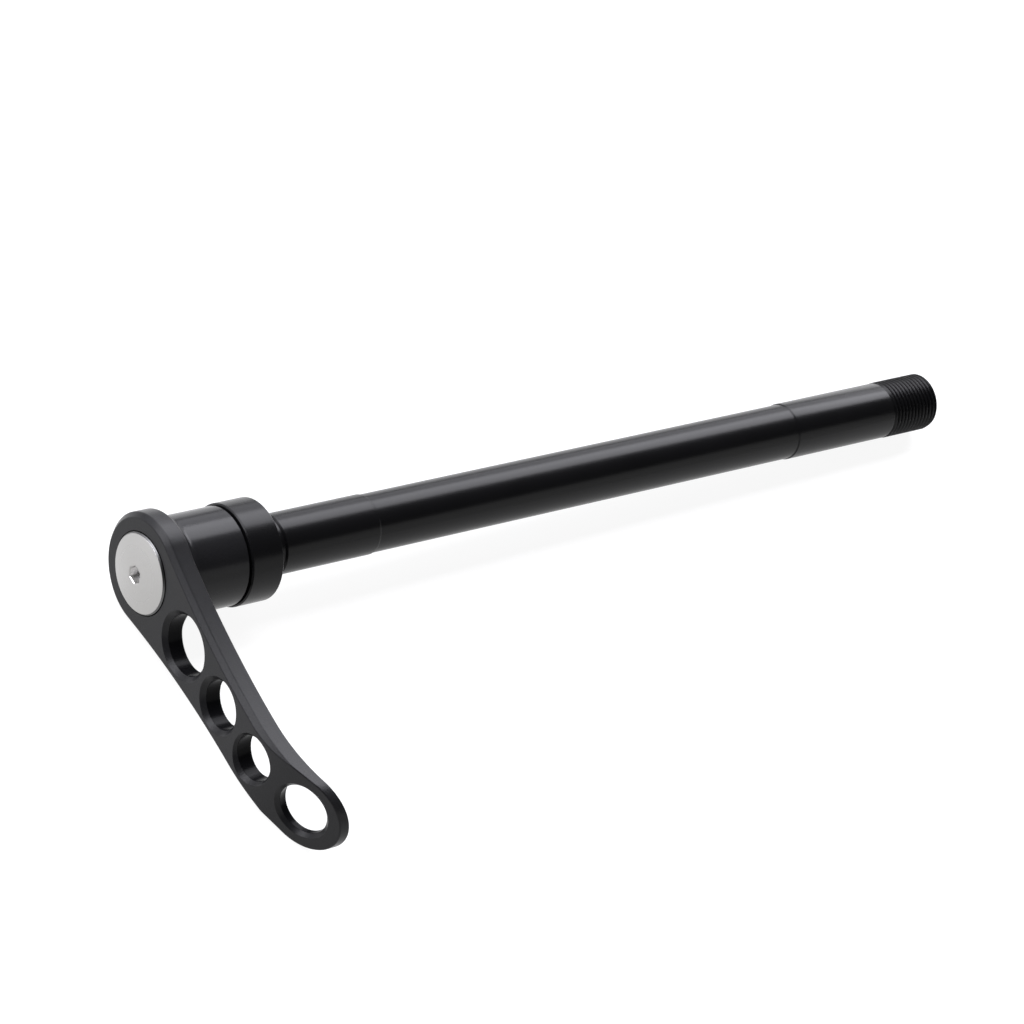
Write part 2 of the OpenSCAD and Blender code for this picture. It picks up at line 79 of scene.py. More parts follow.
# Small forms in millimetres: chamfers, the form of the thread and of the splines, and softened rims
RING_CHAMFER, NECK_CHAMFER, BORE_CHAMFER, CAP_CHAMFER = 0.25, 0.4, 0.6, 0.3
THREAD_DEPTH, THREAD_CREST, THREAD_FLANK, THREAD_FADE, THREAD_LEAD_IN = 0.61, 0.14, 0.66, 0.8, 0.1
ROOT_SHARE, TIP_SHARE, SPLINE_SET_IN = 0.31, 0.17, 0.05
HEX_MOUTH, HEX_LIP, HEX_RIM = 0.35, 0.04, 0.08
SPRING_GAP, SPRING_CLOSING = 0.02, 0.75
RING_SOFT, AXLE_SOFT, BORE_SOFT, CAP_SOFT, HUB_SOFT = 0.08, 0.07, 0.05, 0.06, 0.07
HOLE_SOFT, EDGE_SOFT, BACK_SOFT = 0.1, 0.35, 0.15
MARGIN, EDGE_MARGIN = 0.2, 0.3


def mount(name):
    return next(m for m in record["mounts"] if m["name"] == name)


# How the axle lies, from the record: X points along the lever, Y to its side and Z along the axle
AXIS = Vector(mount("end_thread")["axis"]).normalized()
THREAD_AT = Vector(mount("end_thread")["pos_m"])
FACE_AT = Vector(mount("clamp_face")["pos_m"])
CLAMP_CENTRE = THREAD_AT - AXIS * AXIS.dot(THREAD_AT - FACE_AT)
SIDE = (CLAMP_CENTRE - FACE_AT).normalized()
TURNED_SO = Matrix((SIDE.cross(AXIS), SIDE, AXIS)).transposed().to_4x4()
LYING = Matrix.Translation(CLAMP_CENTRE) @ TURNED_SO @ Matrix.Scale(MM, 4)


# Shader helpers
def new_material(name, color, roughness, metallic=0.0, ior=1.5):
    mat = bpy.data.materials.new(name)
    mat.use_nodes = True
    shader = mat.node_tree.nodes["Principled BSDF"]
    shader.inputs["Base Color"].default_value = (*color, 1)
    shader.inputs["Metallic"].default_value = metallic
    shader.inputs["Roughness"].default_value = roughness
    shader.inputs["IOR"].default_value = ior
    return mat, shader


def node(mat, kind, **values):
    made = mat.node_tree.nodes.new(kind)
    for key, value in values.items():
        setattr(made, key, value)
    return made


def wire(mat, out, into):
    mat.node_tree.links.new(out, into)


def math_node(mat, operation, a, b=None):
    made = node(mat, "ShaderNodeMath", operation=operation)
    for socket, value in zip(made.inputs, (a, b)):
        if value is None:
            continue
        if isinstance(value, (int, float)):
            socket.default_value = value
        else:
            wire(mat, value, socket)
    return made.outputs[0]


def noise(mat, vector, scale, detail=3.0, roughness=0.5):
    made = node(mat, "ShaderNodeTexNoise")
    made.inputs["Scale"].default_value = scale
    made.inputs["Detail"].default_value = detail
    made.inputs["Roughness"].default_value = roughness
    wire(mat, vector, made.inputs["Vector"])
    return made.outputs["Fac"]


def ramp(mat, fac, low, high):
    made = node(mat, "ShaderNodeMapRange")
    made.inputs["To Min"].default_value = low
    made.inputs["To Max"].default_value = high
    wire(mat, fac, made.inputs["Value"])
    return made.outputs["Result"]


def color_mix(mat, fac, a, b):
    made = node(mat, "ShaderNodeMix", data_type="RGBA")
    made.inputs["A"].default_value = (*a, 1)
    made.inputs["B"].default_value = (*b, 1)
    wire(mat, fac, made.inputs["Factor"])
    return made.outputs["Result"]


def axle_coordinates(mat):
    """Place in the object, station along the axle and distance from its axis, in metres."""
    place = node(mat, "ShaderNodeTexCoord").outputs["Object"]
    shifted = node(mat, "ShaderNodeVectorMath", operation="SUBTRACT")
    shifted.inputs[1].default_value = CLAMP_CENTRE
    wire(mat, place, shifted.inputs[0])
    along = node(mat, "ShaderNodeVectorMath", operation="DOT_PRODUCT")
    along.inputs[1].default_value = AXIS
    wire(mat, shifted.outputs[0], along.inputs[0])
    across = node(mat, "ShaderNodeVectorMath", operation="CROSS_PRODUCT")
    across.inputs[1].default_value = AXIS
    wire(mat, shifted.outputs[0], across.inputs[0])
    length = node(mat, "ShaderNodeVectorMath", operation="LENGTH")
    wire(mat, across.outputs[0], length.inputs[0])
    return place, along.outputs["Value"], length.outputs["Value"]


def bump(mat, shader, height, depth_mm):
    made = node(mat, "ShaderNodeBump")
    made.inputs["Strength"].default_value = 1.0
    made.inputs["Distance"].default_value = depth_mm * MM
    wire(mat, height, made.inputs["Height"])
    wire(mat, made.outputs["Normal"], shader.inputs["Normal"])


def lathe_lines(mat, station, radius):
    """Coordinates that change only along the axle and away from it, as lines left by turning do."""
    lines = node(mat, "ShaderNodeCombineXYZ")
    wire(mat, station, lines.inputs[0])
    wire(mat, radius, lines.inputs[1])
    return lines.outputs[0]


# Materials
# The lower index of refraction for the holes weakens their reflection, as painted shade.
COAT_IOR, BORE_SHADE_IOR = 1.25, 1.12
# The cap's rim colour is painted shade: a darker band at the rim that dims the highlight there.
SILVER_FACE, SILVER_RIM_SHADE, SHADED_RIM_WIDTH = (0.395, 0.39, 0.38), (0.11, 0.11, 0.11), 0.28
HUB_SMOOTHER, HUB_FLATTER, GRAIN_SHARE = 0.09, 0.85, 0.3


def black_turned():
    """Satin black anodised aluminium with fine lines left by turning."""
    dark, light = (0.003, 0.003, 0.0032), (0.005, 0.005, 0.0055)
    mat, shader = new_material("black_turned", dark, roughness=0.27, ior=COAT_IOR)
    place, station, radius = axle_coordinates(mat)
    fine = noise(mat, lathe_lines(mat, station, radius), scale=9000.0, detail=2.0, roughness=0.6)
    cloud = noise(mat, place, scale=90.0, detail=4.0)
    grain = noise(mat, place, scale=2600.0, detail=2.0)
    wire(mat, ramp(mat, cloud, low=0.22, high=0.27), shader.inputs["Roughness"])
    wire(mat, color_mix(mat, cloud, dark, light), shader.inputs["Base Color"])
    height = math_node(mat, "ADD", fine, math_node(mat, "MULTIPLY", grain, GRAIN_SHARE))
    bump(mat, shader, height, depth_mm=0.003)
    return mat


def black_milled():
    """Satin black anodised aluminium, with a fine blasted grain that fades on the turned hub."""
    dark, light = (0.006, 0.006, 0.0065), (0.014, 0.014, 0.015)
    mat, shader = new_material("black_milled", dark, roughness=0.4, ior=COAT_IOR)
    place, station, radius = axle_coordinates(mat)
    hub_start = PLATE_FRONT + PLATE_T + HUB_FILLET / 2
    past_plate = math_node(mat, "GREATER_THAN", station, hub_start * MM)
    near_axle = math_node(mat, "LESS_THAN", radius, (HUB_R + HUB_FILLET / 4) * MM)
    on_hub = math_node(mat, "MULTIPLY", past_plate, near_axle)
    grain = noise(mat, place, scale=4200.0, detail=2.0, roughness=0.6)
    cloud = noise(mat, place, scale=160.0, detail=4.0)
    rough = ramp(mat, cloud, low=0.27, high=0.33)
    smoother = math_node(mat, "MULTIPLY", on_hub, HUB_SMOOTHER)
    wire(mat, math_node(mat, "SUBTRACT", rough, smoother), shader.inputs["Roughness"])
    wire(mat, color_mix(mat, grain, dark, light), shader.inputs["Base Color"])
    share = math_node(mat, "SUBTRACT", 1.0, math_node(mat, "MULTIPLY", on_hub, HUB_FLATTER))
    bump(mat, shader, math_node(mat, "MULTIPLY", grain, share), depth_mm=0.022)
    return mat


def bored_painted_shade():
    """Painted shade for the bored holes: a deeper black with little sheen, reflecting less than the
    lever's faces.
    """
    black = (0.004, 0.004, 0.0045)
    mat, shader = new_material("bored_painted_shade", black, roughness=0.22, ior=BORE_SHADE_IOR)
    place = node(mat, "ShaderNodeTexCoord").outputs["Object"]
    grain = noise(mat, place, scale=2600.0, detail=2.0)
    wire(mat, ramp(mat, grain, low=0.17, high=0.27), shader.inputs["Roughness"])
    bump(mat, shader, grain, depth_mm=0.004)
    return mat


def silver_turned():
    """Bright aluminium with the fine rings of a turned face, and a rim band coloured darker as
    painted shade that dims the rim's highlight.
    """
    mat, shader = new_material("silver_turned", SILVER_FACE, roughness=0.3, metallic=1.0)
    _, station, radius = axle_coordinates(mat)
    # Painted shade: the outer band of the cap is coloured darker to dim its highlight.
    shaded_rim = math_node(mat, "GREATER_THAN", radius, (CAP_R - SHADED_RIM_WIDTH) * MM)
    wire(mat, color_mix(mat, shaded_rim, SILVER_FACE, SILVER_RIM_SHADE), shader.inputs["Base Color"])
    rings = noise(mat, lathe_lines(mat, station, radius), scale=5200.0, detail=3.0, roughness=0.65)
    wire(mat, ramp(mat, rings, low=0.2, high=0.4), shader.inputs["Roughness"])
    bump(mat, shader, rings, depth_mm=0.006)
    return mat


def spring_steel():
    """Drawn wire with a mottled sheen."""
    mat, shader = new_material("spring_steel", (0.5, 0.5, 0.52), roughness=0.3, metallic=1.0)
    place = node(mat, "ShaderNodeTexCoord").outputs["Object"]
    drawn = noise(mat, place, scale=1500.0, detail=4.0)
    wire(mat, ramp(mat, drawn, low=0.22, high=0.42), shader.inputs["Roughness"])
    bump(mat, shader, drawn, depth_mm=0.004)
    return mat


def bearing_plastic():
    """Dull dark plastic of the washer."""
    mat, shader = new_material("bearing_plastic", (0.02, 0.02, 0.02), roughness=0.55)
    place = node(mat, "ShaderNodeTexCoord").outputs["Object"]
    grain = noise(mat, place, scale=1800.0, detail=3.0)
    wire(mat, ramp(mat, grain, low=0.45, high=0.65), shader.inputs["Roughness"])
    bump(mat, shader, grain, depth_mm=0.005)
    return mat


TURNED = black_turned()
MILLED = black_milled()
BORED_SHADE = bored_painted_shade()
SILVER = silver_turned()
STEEL = spring_steel()
PLASTIC = bearing_plastic()


# Mesh helpers, which work in the part's own millimetres
def add_mesh(name, verts, faces, material, body, replaced):
    mesh = bpy.data.meshes.new(name)
    mesh.from_pydata([LYING @ Vector(v) for v in verts], [], faces)
    mesh.validate()
    mesh.materials.append(material)
    mesh.shade_smooth()
    piece = bpy.data.objects.new(name, mesh)
    bpy.context.scene.collection.objects.link(piece)
    work = bmesh.new()
    work.from_mesh(mesh)
    bmesh.ops.remove_doubles(work, verts=work.verts, dist=1e-7)
    bmesh.ops.recalc_face_normals(work, faces=work.faces)
    work.to_mesh(mesh)
    work.free()
    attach(piece, body)
    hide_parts(replaced)
    return piece


def rounded(corners, radius, steps=3, closed=True):
    """Points along a line with rounded corners, each between two short plain stretches."""
    inner_share, end_share, stretch = 0.3, 0.6, 1.6
    count = len(corners)
    radii = radius if isinstance(radius, tuple) else (radius,) * count
    points = []
    for i, corner in enumerate(corners):
        here = Vector(corner)
        if not closed and i in (0, count - 1):
            points.append(here)
            continue
        before = Vector(corners[i - 1]) - here
        after = Vector(corners[(i + 1) % count]) - here
        half = before.angle(after) / 2
        reach = radii[i] / math.tan(half)
        share_before = end_share if not closed and i == 1 else inner_share
        share_after = end_share if not closed and i == count - 2 else inner_share
        reach = min(reach, share_before * before.length, share_after * after.length)
        before.normalize()
        after.normalize()
        bow = reach * math.tan(half)
        middle = here + (before + after).normalized() * (reach / math.cos(half))
        start, end = here + before * reach, here + after * reach
        points.append(here + before * reach * stretch)
        for k in range(steps + 1):
            along = (start - middle).slerp(end - middle, k / steps)
            points.append(middle + along.normalized() * bow)
        points.append(here + after * reach * stretch)
    return points


def circle(radius, station, around):
    """Points round the axle."""
    angles = [2 * math.pi * j / around for j in range(around)]
    return [(radius * math.cos(a), radius * math.sin(a), station) for a in angles]


def turned(sections, around=192):
    """Closed surface from a ring of (station, radius) points turned about the axle."""
    verts, faces = [], []
    count = len(sections)
    for j in range(around):
        angle = 2 * math.pi * j / around
        for station, radius in sections:
            verts.append((radius * math.cos(angle), radius * math.sin(angle), station))
    for j in range(around):
        a, b = j * count, (j + 1) % around * count
        for k in range(count):
            n = (k + 1) % count
            faces.append((a + k, b + k, b + n, a + n))
    return verts, faces


# Thrust ring, as one closed turned section with softened rims
def thrust_ring():
    corners = [
        (RING_BACK, RING_BORE_R),
        (RING_BACK, RING_R - RING_CHAMFER),
        (RING_BACK + RING_CHAMFER, RING_R),
        (-RING_CHAMFER, RING_R),
        (0.0, RING_R - RING_CHAMFER),
        (0.0, RECESS_R),
        (-RECESS, RECESS_R),
        (-RECESS, RING_BORE_R),
    ]
    verts, faces = turned(rounded(corners, RING_SOFT))
    add_mesh("clamp_ring_piece", verts, faces, TURNED, "clamp_ring", "thrust_ring")


# Axle shaft
def thread_radius(turn):
    """Radius of the end thread where turn counts pitches from a crest."""
    flank = abs(turn - round(turn)) * 2
    share = min(max((flank - THREAD_CREST) / THREAD_FLANK, 0), 1)
    return THREAD_R - THREAD_DEPTH * THREAD_PITCH * share


def axle_shaft():
    start = AXLE_LEN - THREAD_LEN
    outside = [
        (HEAD_TOP, SCREW_HOLE_R),
        (HEAD_TOP, PILOT_R - STEP),
        (HEAD_TOP + STEP, PILOT_R),
        (SPLINE_END, PILOT_R),
        (SPLINE_END, FLANGE_R),
        (FLANGE_FACE, FLANGE_R),
        (FLANGE_FACE, JOURNAL_R),
        (GROOVE_BACK, JOURNAL_R),
        (GROOVE_BACK, GROOVE_R),
        (GROOVE_FRONT, GROOVE_R),
        (GROOVE_FRONT, NECK_R),
        (SEAT_START - NECK_CHAMFER, NECK_R),
        (SEAT_START, SEAT_R),
        (NEAR_SEAT_END, SEAT_R),
        (NEAR_SEAT_END + STEP, MIDDLE_R),
        (FAR_SEAT_START - STEP, MIDDLE_R),
        (FAR_SEAT_START, SEAT_R),
        (start - THREAD_LEAD_IN, SEAT_R),
    ]
    inside = [
        (AXLE_LEN, THREAD_R - END_CHAMFER),
        (AXLE_LEN, BORE_R + BORE_CHAMFER),
        (AXLE_LEN - BORE_CHAMFER, BORE_R),
        (BORE_FLOOR, BORE_R),
        (BORE_FLOOR, 0.0),
    ]
    around, per_pitch = 144, 12
    body = rounded(outside, AXLE_SOFT, closed=False)
    bore = rounded(inside, BORE_SOFT, closed=False)
    steps = int(THREAD_LEN * per_pitch)
    threads = [start + THREAD_LEN * k / steps for k in range(1, steps)]
    verts, faces = [], []
    for j in range(around):
        angle = 2 * math.pi * j / around
        ring = list(body)
        for s in threads:
            cut = thread_radius((s - start) / THREAD_PITCH - j / around)
            fade = min((s - start) / THREAD_FADE, 1)
            r = SEAT_R + (cut - SEAT_R) * fade
            ring.append((s, min(r, THREAD_R - END_CHAMFER + (AXLE_LEN - s))))
        ring += bore
        for s, r in ring:
            verts.append((r * math.cos(angle), r * math.sin(angle), s))
    count = len(ring)
    for j in range(around):
        a, b = j * count, (j + 1) % around * count
        for k in range(count - 1):
            faces.append((a + k, b + k, b + k + 1, a + k + 1))
    # Blind screw hole in the head
    base = len(verts)
    verts += circle(SCREW_HOLE_R, SCREW_HOLE_END, around)
    for j in range(around):
        n = (j + 1) % around
        faces.append((j * count, base + j, base + n, n * count))
    faces.append([base + j for j in range(around)])
    add_splines(verts, faces)
    add_mesh("axle_piece", verts, faces, TURNED, "axle", "axle_shaft")


def spline_outline():
    """Plan points of the spline teeth, as in the solid model."""
    pitch = 2 * math.pi / SPLINE_N
    corners = (
        (-ROOT_SHARE, SPLINE_ROOT_R),
        (-TIP_SHARE, SPLINE_TIP_R),
        (TIP_SHARE, SPLINE_TIP_R),
        (ROOT_SHARE, SPLINE_ROOT_R),
    )
    points = []
    for i in range(SPLINE_N):
        for share, radius in corners:
            angle = (i + share) * pitch
            points.append((radius * math.cos(angle), radius * math.sin(angle)))
    return points


def add_splines(verts, faces):
    """The toothed band of the axle's head, closed at its front and set into the flange."""
    base = len(verts)
    outer = spline_outline()
    count = len(outer)
    stations = (SPLINE_FRONT, SPLINE_END + SPLINE_SET_IN)
    for station in stations:
        verts += [(x, y, station) for x, y in outer]
    inner = base + 2 * count
    for station in stations:
        for x, y in outer:
            scale = (PILOT_R - STEP) / math.hypot(x, y)
            verts.append((x * scale, y * scale, station))
    for k in range(count):
        n = (k + 1) % count
        faces.append((base + k, base + n, base + count + n, base + count + k))
        faces.append((base + n, base + k, inner + k, inner + n))
        faces.append((inner + n, inner + k, inner + count + k, inner + count + n))
        faces.append((base + count + k, base + count + n, inner + count + n, inner + count + k))


# Silver cap with its sleeve, screw and hexagon socket
def cap_screw():
    around, dome_steps = 192, 24
    dome_half = CAP_R - CAP_CHAMFER
    rise = CAP_RIM - CAP_TOP
    dome_r = (dome_half**2 + rise**2) / (2 * rise)
    hex_r = HEX_AF / 2 / math.cos(math.pi / 6)
    mouth = hex_r + HEX_MOUTH
    dome = []
    for k in range(dome_steps + 1):
        radius = mouth + (dome_half - mouth) * k / dome_steps
        dome.append((CAP_TOP + dome_r - math.sqrt(dome_r**2 - radius**2), radius))
    corners = [
        (CAP_RIM + CAP_CHAMFER, CAP_R),
        (CAP_BACK - CAP_CHAMFER, CAP_R),
        (CAP_BACK, CAP_R - CAP_CHAMFER),
        (CAP_BACK, SLEEVE_R),
        (HEAD_TOP, SLEEVE_R),
        (HEAD_TOP, SCREW_R),
        (SCREW_END, SCREW_R),
    ]
    line = dome[-2:] + corners + [(SCREW_END, 0.0)]
    ring = dome[:-2] + rounded(line, CAP_SOFT, closed=False)
    verts, faces = [], []
    for j in range(around):
        angle = 2 * math.pi * j / around
        verts += [(r * math.cos(angle), r * math.sin(angle), s) for s, r in ring]
    count = len(ring)
    for j in range(around):
        a, b = j * count, (j + 1) % around * count
        for k in range(count - 1):
            faces.append((a + k, b + k, b + k + 1, a + k + 1))
    # Hexagon socket: from the round mouth to the six flats, down to a flat floor
    base = len(verts)
    levels = ((0.02, 0.12, HEX_RIM), (0.3, 0.0, 0.0), (HEX_DEPTH, 0.0, 0.0))
    for depth, blend, rim in levels:
        for j in range(around):
            angle = 2 * math.pi * j / around
            flat = HEX_AF / 2 / math.cos((angle % (math.pi / 3)) - math.pi / 6)
            r = flat + (mouth - flat) * blend + rim
            verts.append((r * math.cos(angle), r * math.sin(angle), CAP_TOP + HEX_LIP + depth))
    for j in range(around):
        n = (j + 1) % around
        faces.append((n * count, j * count, base + j, base + n))
        for level in range(len(levels) - 1):
            a = base + level * around
            faces.append((a + n, a + j, a + around + j, a + around + n))
    faces.append([base + (len(levels) - 1) * around + j for j in range(around)])
    add_mesh("cap_piece", verts, faces, SILVER, "axle", "cap_screw")


# Return spring, which in the real axle is squeezed as the lever is pulled
def return_spring():
    coil_r = (SLEEVE_R + CAP_BORE_R) / 2
    low = CAP_BACK + SPRING_GAP + WIRE_R
    rise = SPRING_LEN - 2 * SPRING_GAP - 2 * WIRE_R
    steps, sides = 160, 16
    verts, faces = [], []
    for i in range(steps + 1):
        t = i / steps
        turn = 2 * math.pi * SPRING_TURNS * t
        closing = math.sin(2 * math.pi * t) / (2 * math.pi) * SPRING_CLOSING
        height = low + rise * (t - closing)
        for k in range(sides):
            a = 2 * math.pi * k / sides
            r = coil_r + WIRE_R * math.cos(a)
            verts.append((r * math.cos(turn), r * math.sin(turn), height + WIRE_R * math.sin(a)))
    for i in range(steps):
        for k in range(sides):
            a, b = i * sides + k, i * sides + (k + 1) % sides
            faces.append((a, b, b + sides, a + sides))
    faces.append(list(range(sides)))
    faces.append([steps * sides + k for k in range(sides)])
    piece = add_mesh("spring_piece", verts, faces, STEEL, "axle", "return_spring")
    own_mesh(piece)


# Lever: sections skinned along its outline, its holes and its hub, with faces filled between
HEAD_REACH, TIP_REACH = WAIST_R + HEAD_R, WAIST_R + TIP_R
WAIST_X = (ARM_LEN**2 + HEAD_REACH**2 - TIP_REACH**2) / (2 * ARM_LEN)
WAIST_Y = math.sqrt(HEAD_REACH**2 - WAIST_X**2)
HEAD_TOUCH = math.atan2(WAIST_Y, WAIST_X)
TIP_TOUCH = math.atan2(WAIST_Y, WAIST_X - ARM_LEN)
LAND = (ARM_LEN - CAP_BORE_R - sum(HOLE_D[:3]) - HOLE_D[3] / 2) / 4


def hole_places():
    places, edge = [], CAP_BORE_R
    for d in HOLE_D:
        places.append(edge + LAND + d / 2)
        edge += LAND + d
    return places


def bend_turn(x, start, r):
    """Slope of a face at x, where its bend begins at start."""
    return math.asin(min(max(x - start, 0) / r, math.sin(BEND)))


def bend_drop(x, start, r):
    """How far a face has moved towards the thread end at x."""
    beyond = max(x - start - r * math.sin(BEND), 0)
    return r * (1 - math.cos(bend_turn(x, start, r))) + beyond * math.tan(BEND)


def front_level(x, y):
    return PLATE_FRONT + bend_drop(x, WAIST_X, BEND_R)


def back_level(x, y):
    """Back face with the fillet that rises to the hub."""
    level = PLATE_FRONT + PLATE_T + bend_drop(x, WAIST_X + BACK_BEND_LAG, BACK_BEND_R)
    inward = min(max(HUB_R + HUB_FILLET - math.hypot(x, y), 0), HUB_FILLET)
    return level + HUB_FILLET - math.sqrt(HUB_FILLET**2 - inward**2)


def chamfer_width(x):
    """Width of the front chamfer, which runs out along the bend to a small edge break."""
    lag = min(max(x - WAIST_X, 0), RUNOUT_R / 2)
    follow = RUNOUT_R * (1 - math.cos(math.asin(lag / RUNOUT_R)))
    return max(EDGE_CHAMFER + follow - bend_drop(x, WAIST_X, BEND_R), EDGE_BREAK)


def outline(head_steps=120, side_steps=130, tip_steps=80):
    """Points of the plan outline with their outward directions."""
    points = []

    def arc(cx, cy, r, start, end, count, sign):
        for k in range(count):
            a = start + (end - start) * k / count
            out = Vector((math.cos(a), math.sin(a)))
            points.append((Vector((cx, cy)) + out * r, out * sign))

    side_start, side_end = math.pi - HEAD_TOUCH, math.pi - TIP_TOUCH
    arc(0, 0, HEAD_R, HEAD_TOUCH, 2 * math.pi - HEAD_TOUCH, head_steps, 1)
    arc(WAIST_X, -WAIST_Y, WAIST_R, side_start, side_end, side_steps, -1)
    arc(ARM_LEN, 0, TIP_R, -TIP_TOUCH, TIP_TOUCH, tip_steps, 1)
    arc(WAIST_X, WAIST_Y, WAIST_R, -side_end, -side_start, side_steps, -1)
    return points


def depth_inside(x, y):
    """Distance from a plan point to the outline, positive inside."""
    if abs(math.atan2(y, x)) > HEAD_TOUCH:
        return HEAD_R - math.hypot(x, y)
    if abs(math.atan2(y, x - ARM_LEN)) < TIP_TOUCH:
        return TIP_R - math.hypot(x - ARM_LEN, y)
    return math.hypot(x - WAIST_X, abs(y) - WAIST_Y) - WAIST_R


def on_level(start, direction, level, rounds=6, little=1e-4):
    """Where a line from start meets the face that level describes, by Newton steps."""

    def gap(reach):
        point = start + direction * reach
        return level(point.x, point.y) - point.z

    reach = 0.0
    for _ in range(rounds):
        here = gap(reach)
        reach -= here * little / (gap(reach + little) - here)
    return start + direction * reach


def edge_sections():
    """Sections over the plate's edge, from its front face by the chamfer to its back face."""

    def inside(p, out, depth, level):
        plan = p - out * depth
        return Vector((*plan, level(*plan)))

    sections = []
    for p, out in outline():
        width = chamfer_width(p.x)
        corners = [
            inside(p, out, width + EDGE_MARGIN, front_level),
            inside(p, out, width, front_level),
            Vector((p.x, p.y, front_level(p.x, p.y) + width)),
            inside(p, out, 0, back_level),
            inside(p, out, MARGIN, back_level),
        ]
        radii = (0, EDGE_SOFT, EDGE_SOFT, BACK_SOFT, 0)
        sections.append(rounded(corners, radii, closed=False))
    return sections


def hole_frame(x):
    """Centre of a hole at the front face, and its directions along the lever and into the plate."""
    turn = bend_turn(x, WAIST_X, BEND_R)
    along = Vector((math.cos(turn), 0, math.sin(turn)))
    deep = Vector((-math.sin(turn), 0, math.cos(turn)))
    return Vector((x, 0, front_level(x, 0))), along, deep


def hole_sections(x, d, chamfer, around=144):
    """Sections through the wall of a hole, which is square to the front face."""
    centre, along, deep = hole_frame(x)
    sections = []
    for j in range(around):
        angle = 2 * math.pi * j / around
        away = along * math.cos(angle) + Vector((0, math.sin(angle), 0))
        wall = centre + away * (d / 2)
        mouth = wall + deep * chamfer
        rim = on_level(mouth, deep - away, front_level)
        back_rim = on_level(wall + away * HOLE_BACK_CHAMFER, deep, back_level)
        low = on_level(wall, deep, back_level) - deep * HOLE_BACK_CHAMFER
        corners = [
            on_level(rim + away * MARGIN, deep, front_level),
            rim,
            mouth,
            low,
            back_rim,
            on_level(back_rim + away * MARGIN, deep, back_level),
        ]
        sections.append(rounded(corners, HOLE_SOFT, closed=False))
    return sections


def space_radius(angle):
    """Radius of the spline spaces inside the hub at an angle."""
    pitch = 2 * math.pi / SPLINE_N
    off = abs((angle + pitch / 2) % pitch - pitch / 2)
    root = pitch * ROOT_SHARE + SPACE_GROW / SPACE_ROOT_R
    tip = pitch * TIP_SHARE + SPACE_GROW / SPACE_TIP_R
    share = min(max((off - tip) / (root - tip), 0), 1)
    return SPACE_TIP_R + (SPACE_ROOT_R - SPACE_TIP_R) * share


def hub_sections(around=240, foot_steps=6):
    """Sections of the hub, from its fillet over its mouth and teeth to the cap's bore."""
    sections = []
    fillet_top = PLATE_FRONT + PLATE_T + HUB_FILLET
    foot = []
    for k in range(foot_steps + 1):
        r = HUB_R + MARGIN * (1 - k / foot_steps) ** 2
        inward = HUB_R + HUB_FILLET - r
        foot.append((r, fillet_top - math.sqrt(HUB_FILLET**2 - inward**2)))
    for j in range(around):
        angle = 2 * math.pi * j / around
        tooth = space_radius(angle)
        corners = [
            foot[-1],
            (HUB_R, HUB_END - HUB_CHAMFER),
            (HUB_R - HUB_CHAMFER, HUB_END),
            (MOUTH_R, HUB_END),
            (MOUTH_R, MOUTH_FLOOR),
            (tooth, MOUTH_FLOOR),
            (tooth, TEETH_FRONT),
            (RELIEF_R, TEETH_FRONT),
            (RELIEF_R, WEB_BACK),
            (SLEEVE_BORE_R, WEB_BACK),
            (SLEEVE_BORE_R, WEB_FRONT),
            (CAP_BORE_R, WEB_FRONT),
            (CAP_BORE_R, PLATE_FRONT),
            (CAP_BORE_R + MARGIN, PLATE_FRONT),
        ]
        line = foot[:-1] + rounded(corners, HUB_SOFT, closed=False)
        sections.append([Vector((r * math.cos(angle), r * math.sin(angle), s)) for r, s in line])
    return sections


def skin(verts, faces, sections):
    """Joins a closed row of sections and returns the loops at its two ends."""
    base, count, rows = len(verts), len(sections[0]), len(sections)
    for section in sections:
        verts.extend(section)
    for j in range(rows):
        a, b = base + j * count, base + (j + 1) % rows * count
        for k in range(count - 1):
            faces.append((a + k, b + k, b + k + 1, a + k + 1))
    first = [base + j * count for j in range(rows)]
    last = [i + count - 1 for i in first]
    return first, last


def fill(verts, faces, loops, inner, level):
    """Fills a face between loops, through plan points inside it that follow its level."""
    base = len(verts)
    verts.extend(Vector((x, y, level(x, y))) for x, y in inner)
    members = [i for loop in loops for i in loop] + list(range(base, len(verts)))
    edges, owner = [], []
    for n, loop in enumerate(loops):
        start, size = len(owner), len(loop)
        edges += [(start + k, start + (k + 1) % size) for k in range(size)]
        owner += [n] * size
    owner += [None] * len(inner)
    plan = [Vector(verts[i][:2]) for i in members]
    result = delaunay_2d_cdt(plan, edges, [], 0, 1e-6)
    source = [ids[0] for ids in result[3]]
    for face in result[2]:
        ids = [source[i] for i in face]
        homes = {owner[i] for i in ids}
        if len(homes) == 1 and None not in homes:
            continue
        faces.append([members[i] for i in ids])


def face_points(edge_room, hub_room, hole_room, centres, step=0.6):
    """Plan points on a grid inside a face, clear of its edge, its hub and its holes."""
    points = []
    holes = list(zip(centres, HOLE_D))
    for i in range(int(-HEAD_R / step), int((ARM_LEN + TIP_R) / step) + 1):
        for j in range(int(-HEAD_R / step), int(HEAD_R / step) + 1):
            x, y = (i + 0.5 * (j % 2)) * step, j * step
            if depth_inside(x, y) < edge_room(x) or math.hypot(x, y) < hub_room:
                continue
            if all(math.hypot(x - c, y) > d / 2 + hole_room for c, d in holes):
                points.append((x, y))
    return points


def hub_rings(rings=10, around=150, crowding=1.3, gap=0.12, hole_room=0.65):
    """Plan points in rings on the fillet round the hub, closer together towards the hub."""
    first, d = hole_places()[0], HOLE_D[0]
    start = MARGIN + gap
    points = []
    for k in range(rings):
        r = HUB_R + start + (HUB_FILLET - start) * (k / (rings - 1)) ** crowding
        for j in range(around):
            angle = 2 * math.pi * (j + 0.5 * (k % 2)) / around
            x, y = r * math.cos(angle), r * math.sin(angle)
            if depth_inside(x, y) > start and math.hypot(x - first, y) > d / 2 + hole_room:
                points.append((x, y))
    return points


